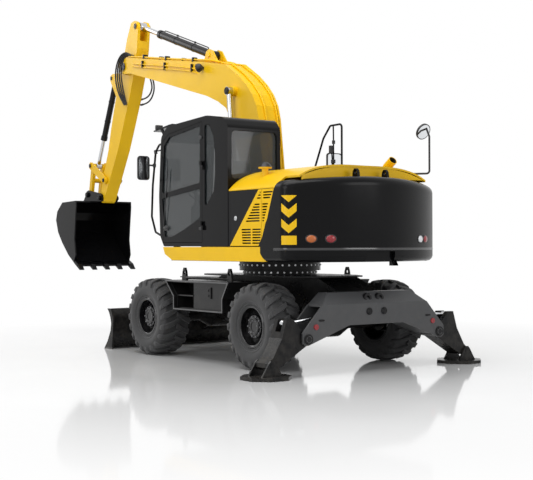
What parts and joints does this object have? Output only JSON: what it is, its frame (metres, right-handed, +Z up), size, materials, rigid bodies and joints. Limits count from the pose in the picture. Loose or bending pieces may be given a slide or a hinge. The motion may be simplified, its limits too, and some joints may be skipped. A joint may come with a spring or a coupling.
{
  "type": "wheeled excavator",
  "caption": "Wheeled digging machine: turning upper body with a cab and an arched tail, cranked boom, arm and bucket, front blade and rear stabiliser legs.",
  "frame": {"origin": "middle of the machine's box on the ground, with the wheels, stabiliser feet and blade resting on it", "axes": "+X forward, towards the blade and the bucket; +Y to the machine's left, the cab's side; +Z up"},
  "size_m": [8.1196, 3.7292, 5.29],
  "materials": {
    "yellow_paint": "gloss paint",
    "black_paint": "gloss paint",
    "chassis_grey": "satin paint",
    "beam_grey": "satin paint",
    "cast_tail": "gloss paint",
    "tyre_rubber": "matte",
    "rim_black": "gloss paint",
    "steel": "worn",
    "rod_chrome": "polished",
    "cylinder_black": "satin paint",
    "window_glass": "tinted",
    "seat_fabric": "woven",
    "dark_plastic": "grained",
    "red_lens": "lens",
    "engine_grey": "cast"
  },
  "bodies": {
    "chassis": {"chassis_frame": "chassis_grey", "rear_axle": "chassis_grey", "front_axle": "chassis_grey", "drive_line": "engine_grey", "side_boxes": "chassis_grey", "stabiliser_beam": "beam_grey", "beam_lamps": "red_lens"},
    "steering_rod": {"steering_rod": "rod_chrome"},
    "knuckle_left": {"knuckle_left": "chassis_grey"},
    "knuckle_right": {"knuckle_right": "chassis_grey"},
    "blade": {"blade": "chassis_grey"},
    "blade_barrels": {"blade_barrels": "cylinder_black"},
    "blade_rods": {"blade_rods": "rod_chrome"},
    "upper": {"upper_frame": "black_paint", "body_panels": "black_paint", "skirts": "yellow_paint", "counterweight": "cast_tail", "tail_cheeks": "cast_tail", "hood": "yellow_paint", "tank": "black_paint", "engine_block": "engine_grey", "exhaust": "yellow_paint", "precleaner": "dark_plastic", "cab_shell": "black_paint", "cab_glass": "window_glass", "seat": "seat_fabric", "console": "dark_plastic", "mirrors": "dark_plastic", "handrails": "black_paint"},
    "cab_door": {"cab_door": "black_paint", "door_glass": "window_glass"},
    "service_door_left": {"service_door_left": "black_paint"},
    "service_door_right": {"service_door_right": "black_paint"},
    "boom": {"boom": "yellow_paint"},
    "boom_barrels": {"boom_barrels": "cylinder_black"},
    "boom_rods": {"boom_rods": "rod_chrome"},
    "arm": {"arm": "yellow_paint"},
    "arm_barrel": {"arm_barrel": "cylinder_black"},
    "arm_rod": {"arm_rod": "rod_chrome"},
    "bucket": {"bucket": "black_paint"},
    "bucket_barrel": {"bucket_barrel": "cylinder_black"},
    "bucket_rod": {"bucket_rod": "rod_chrome"},
    "rocker": {"rocker": "yellow_paint"},
    "bucket_link": {"bucket_link": "yellow_paint"},
    "wheel_rear_left": {"tyre_rear_left": "tyre_rubber", "rim_rear_left": "rim_black"},
    "wheel_rear_right": {"tyre_rear_right": "tyre_rubber", "rim_rear_right": "rim_black"},
    "wheel_front_left": {"tyre_front_left": "tyre_rubber", "rim_front_left": "rim_black"},
    "wheel_front_right": {"tyre_front_right": "tyre_rubber", "rim_front_right": "rim_black"},
    "stabiliser_leg_left": {"stabiliser_leg_left": "chassis_grey"},
    "stabiliser_foot_left": {"stabiliser_foot_left": "chassis_grey"},
    "leg_barrel_left": {"leg_barrel_left": "cylinder_black"},
    "leg_rod_left": {"leg_rod_left": "rod_chrome"},
    "stabiliser_leg_right": {"stabiliser_leg_right": "chassis_grey"},
    "stabiliser_foot_right": {"stabiliser_foot_right": "chassis_grey"},
    "leg_barrel_right": {"leg_barrel_right": "cylinder_black"},
    "leg_rod_right": {"leg_rod_right": "rod_chrome"}
  },
  "joints": [
    {"name": "slew", "type": "hinge", "parent": "chassis", "child": "upper", "pos_m": [-1.92522, 0, 1.21], "axis": [0, 0, 1], "continuous": true},
    {"name": "wheel_rear_left_spin", "type": "hinge", "parent": "chassis", "child": "wheel_rear_left", "pos_m": [-2.95522, 1.0165, 0.545], "axis": [0, 1, 0], "continuous": true},
    {"name": "wheel_rear_right_spin", "type": "hinge", "parent": "chassis", "child": "wheel_rear_right", "pos_m": [-2.95522, -1.0165, 0.545], "axis": [0, 1, 0], "continuous": true},
    {"name": "wheel_front_left_spin", "type": "hinge", "parent": "knuckle_left", "child": "wheel_front_left", "pos_m": [-0.36522, 1.0165, 0.545], "axis": [0, 1, 0], "continuous": true},
    {"name": "wheel_front_right_spin", "type": "hinge", "parent": "knuckle_right", "child": "wheel_front_right", "pos_m": [-0.36522, -1.0165, 0.545], "axis": [0, 1, 0], "continuous": true},
    {"name": "steer_left", "type": "hinge", "parent": "chassis", "child": "knuckle_left", "pos_m": [-0.36522, 0.82, 0.545], "axis": [0, 0, 1], "range_deg": [-30, 30]},
    {"name": "steer_right", "type": "hinge", "parent": "chassis", "child": "knuckle_right", "pos_m": [-0.36522, -0.82, 0.545], "axis": [0, 0, 1], "range_deg": [-30, 30]},
    {"name": "steering_rod_slide", "type": "slide", "parent": "chassis", "child": "steering_rod", "axis": [0, 1, 0], "range_m": [-0.11, 0.11]},
    {"name": "blade_lift", "type": "hinge", "parent": "chassis", "child": "blade", "pos_m": [-0.04522, 0, 0.56], "axis": [0, -1, 0], "range_deg": [-7, 25]},
    {"name": "blade_barrel_swing", "type": "hinge", "parent": "chassis", "child": "blade_barrels", "pos_m": [0.06978, 0, 0.9], "axis": [0, 1, 0], "range_deg": [-20.86, 6.2]},
    {"name": "blade_rod_slide", "type": "slide", "parent": "blade_barrels", "child": "blade_rods", "axis": [0.7354, 0, -0.6776], "range_m": [-0.15445, 0.04685]},
    {"name": "leg_left_fold", "type": "hinge", "parent": "chassis", "child": "stabiliser_leg_left", "pos_m": [-3.77522, 1.07, 0.445], "axis": [1, 0, 0], "range_deg": [-8, 80]},
    {"name": "foot_left_tilt", "type": "hinge", "parent": "stabiliser_leg_left", "child": "stabiliser_foot_left", "pos_m": [-3.77522, 1.59, 0.165], "axis": [1, 0, 0], "range_deg": [-30, 30]},
    {"name": "leg_left_barrel_swing", "type": "hinge", "parent": "chassis", "child": "leg_barrel_left", "pos_m": [-3.77522, 0.12, 0.744], "axis": [1, 0, 0], "range_deg": [-1.11, 6.58]},
    {"name": "leg_left_rod_slide", "type": "slide", "parent": "leg_barrel_left", "child": "leg_rod_left", "axis": [0, 0.9959, -0.0908], "range_m": [-0.39171, 0.04367]},
    {"name": "leg_right_fold", "type": "hinge", "parent": "chassis", "child": "stabiliser_leg_right", "pos_m": [-3.77522, -1.07, 0.445], "axis": [-1, 0, 0], "range_deg": [-8, 80]},
    {"name": "foot_right_tilt", "type": "hinge", "parent": "stabiliser_leg_right", "child": "stabiliser_foot_right", "pos_m": [-3.77522, -1.59, 0.165], "axis": [-1, 0, 0], "range_deg": [-30, 30]},
    {"name": "leg_right_barrel_swing", "type": "hinge", "parent": "chassis", "child": "leg_barrel_right", "pos_m": [-3.77522, -0.12, 0.744], "axis": [-1, 0, 0], "range_deg": [-1.11, 6.58]},
    {"name": "leg_right_rod_slide", "type": "slide", "parent": "leg_barrel_right", "child": "leg_rod_right", "axis": [0, -0.9959, -0.0908], "range_m": [-0.39171, 0.04367]},
    {"name": "cab_door_swing", "type": "hinge", "parent": "upper", "child": "cab_door", "pos_m": [-1.82722, 1.222, 1.6], "axis": [0, 0, 1], "range_deg": [0, 165]},
    {"name": "service_door_left_swing", "type": "hinge", "parent": "upper", "child": "service_door_left", "pos_m": [-3.16222, 1.207, 1.55], "axis": [0, 0, 1], "range_deg": [0, 110]},
    {"name": "service_door_right_swing", "type": "hinge", "parent": "upper", "child": "service_door_right", "pos_m": [-3.16222, -1.207, 1.55], "axis": [0, 0, -1], "range_deg": [0, 110]},
    {"name": "boom_lift", "type": "hinge", "parent": "upper", "child": "boom", "pos_m": [-1.71522, 0, 1.95], "axis": [0, -1, 0], "range_deg": [-62, 20]},
    {"name": "boom_barrel_swing", "type": "hinge", "parent": "upper", "child": "boom_barrels", "pos_m": [-1.34522, 0, 1.56], "axis": [0, 1, 0], "range_deg": [-18.71, 56.95]},
    {"name": "boom_rod_slide", "type": "slide", "parent": "boom_barrels", "child": "boom_rods", "axis": [0.1085, 0, 0.9941], "range_m": [-0.53296, 0.17531]},
    {"name": "arm_swing", "type": "hinge", "parent": "boom", "child": "arm", "pos_m": [2.18478, 0, 4.55], "axis": [0, 1, 0], "range_deg": [-45, 55]},
    {"name": "arm_barrel_swing", "type": "hinge", "parent": "boom", "child": "arm_barrel", "pos_m": [-0.27522, 0, 4.41], "axis": [0, 1, 0], "range_deg": [-1.87, 2.17]},
    {"name": "arm_rod_slide", "type": "slide", "parent": "arm_barrel", "child": "arm_rod", "axis": [0.9415, 0, 0.3369], "range_m": [-0.51575, 0.62926]},
    {"name": "bucket_curl", "type": "hinge", "parent": "arm", "child": "bucket", "pos_m": [3.12478, 0, 2.39], "axis": [0, 1, 0], "range_deg": [-50, 80]},
    {"name": "bucket_barrel_swing", "type": "hinge", "parent": "arm", "child": "bucket_barrel", "pos_m": [2.79478, 0, 4.44], "axis": [0, 1, 0], "range_deg": [-3.48, 5.27]},
    {"name": "bucket_rod_slide", "type": "slide", "parent": "bucket_barrel", "child": "bucket_rod", "axis": [0.4198, 0, -0.9076], "range_m": [-0.3822, 0.60852]},
    {"name": "rocker_swing", "type": "hinge", "parent": "arm", "child": "rocker", "pos_m": [2.96478, 0, 2.69], "axis": [0, 1, 0], "range_deg": [-40.81, 64.99]},
    {"name": "bucket_link_swing", "type": "hinge", "parent": "rocker", "child": "bucket_link", "pos_m": [3.47478, 0, 2.97], "axis": [0, 1, 0], "range_deg": [-39.04, 24.59]}
  ],
  "couplings": [
    {"joint": "steer_right", "follows": "steer_left", "ratio": 1},
    {"joint": "steering_rod_slide", "follows": "steer_left", "m_per_rad": 0.16994},
    {"joint": "blade_barrel_swing", "follows": "blade_lift", "ratio": -0.81425},
    {"joint": "blade_rod_slide", "follows": "blade_lift", "m_per_rad": -0.34251},
    {"joint": "leg_left_barrel_swing", "follows": "leg_left_fold", "ratio": 0.076},
    {"joint": "leg_left_rod_slide", "follows": "leg_left_fold", "m_per_rad": -0.27696},
    {"joint": "leg_right_barrel_swing", "follows": "leg_right_fold", "ratio": 0.076},
    {"joint": "leg_right_rod_slide", "follows": "leg_right_fold", "m_per_rad": -0.27696},
    {"joint": "boom_barrel_swing", "follows": "boom_lift", "ratio": -0.91042},
    {"joint": "boom_rod_slide", "follows": "boom_lift", "m_per_rad": 0.4879},
    {"joint": "arm_barrel_swing", "follows": "arm_swing", "ratio": 0.0304},
    {"joint": "arm_rod_slide", "follows": "arm_swing", "m_per_rad": 0.65031},
    {"joint": "bucket_barrel_swing", "follows": "bucket_curl", "ratio": 0.05962},
    {"joint": "bucket_rod_slide", "follows": "bucket_curl", "m_per_rad": 0.43224},
    {"joint": "rocker_swing", "follows": "bucket_curl", "ratio": 0.80612},
    {"joint": "bucket_link_swing", "follows": "bucket_curl", "ratio": -0.48176}
  ]
}
